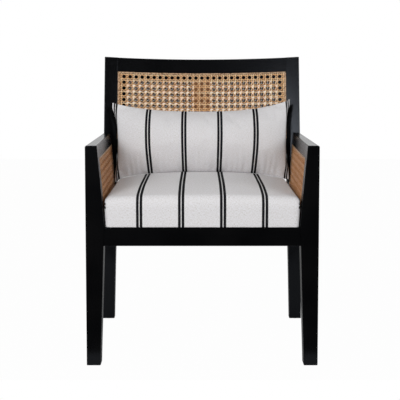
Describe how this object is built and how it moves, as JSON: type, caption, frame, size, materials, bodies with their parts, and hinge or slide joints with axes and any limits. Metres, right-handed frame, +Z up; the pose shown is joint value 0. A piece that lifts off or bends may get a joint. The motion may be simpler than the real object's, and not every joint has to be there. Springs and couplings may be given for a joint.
{
  "type": "cane armchair",
  "caption": "Low-backed dining armchair with a black wooden frame, woven cane back and sides, a tight striped linen seat and a loose lumbar pillow.",
  "frame": {"origin": "on the floor under the middle of the chair's footprint box", "axes": "+Z up, -Y towards the front of the chair, +X to the right as seen from the front"},
  "size_m": [0.641, 0.6299, 0.8385],
  "materials": {
    "black_lacquer": "satin",
    "plain_hardwood": "matte",
    "natural_wood": "matte",
    "cane": "satin",
    "reed": "satin",
    "plywood": "matte",
    "foam": "matte",
    "striped_linen": "matte",
    "filling": "matte",
    "dust_cloth": "matte",
    "screw_steel": "satin",
    "glide_nylon": "matte"
  },
  "bodies": {
    "chair_frame": {"arm_cane_inner_left": "cane", "arm_cane_inner_right": "cane", "arm_cane_outer_left": "cane", "arm_cane_outer_right": "cane", "arm_rail_left": "black_lacquer", "arm_rail_right": "black_lacquer", "arm_spline_inner_left": "reed", "arm_spline_inner_right": "reed", "arm_spline_outer_left": "reed", "arm_spline_outer_right": "reed", "back_cane_front": "cane", "back_cane_rear": "cane", "back_centre_batten": "natural_wood", "back_ledge_bottom": "black_lacquer", "back_ledge_left": "black_lacquer", "back_ledge_right": "black_lacquer", "back_ledge_top": "black_lacquer", "back_spline_front": "reed", "back_spline_rear": "reed", "corner_block_front_left": "plain_hardwood", "corner_block_front_right": "plain_hardwood", "corner_block_rear_left": "plain_hardwood", "corner_block_rear_right": "plain_hardwood", "crest_rail": "black_lacquer", "dust_cover": "dust_cloth", "foot_glides": "glide_nylon", "front_leg_left": "black_lacquer", "front_leg_right": "black_lacquer", "front_seat_rail": "black_lacquer", "lower_back_rail": "black_lacquer", "rear_post_left": "black_lacquer", "rear_post_right": "black_lacquer", "rear_seat_rail": "black_lacquer", "seat_board": "plywood", "seat_board_screws": "screw_steel", "seat_cover": "striped_linen", "seat_foam": "foam", "side_seat_rail_left": "black_lacquer", "side_seat_rail_right": "black_lacquer"},
    "pillow": {"lumbar_pillow": "striped_linen", "pillow_insert": "filling"}
  },
  "joints": [
    {"name": "pillow_lift", "type": "slide", "parent": "chair_frame", "child": "pillow", "axis": [0, 0, 1], "range_m": [0, 0.4]}
  ]
}
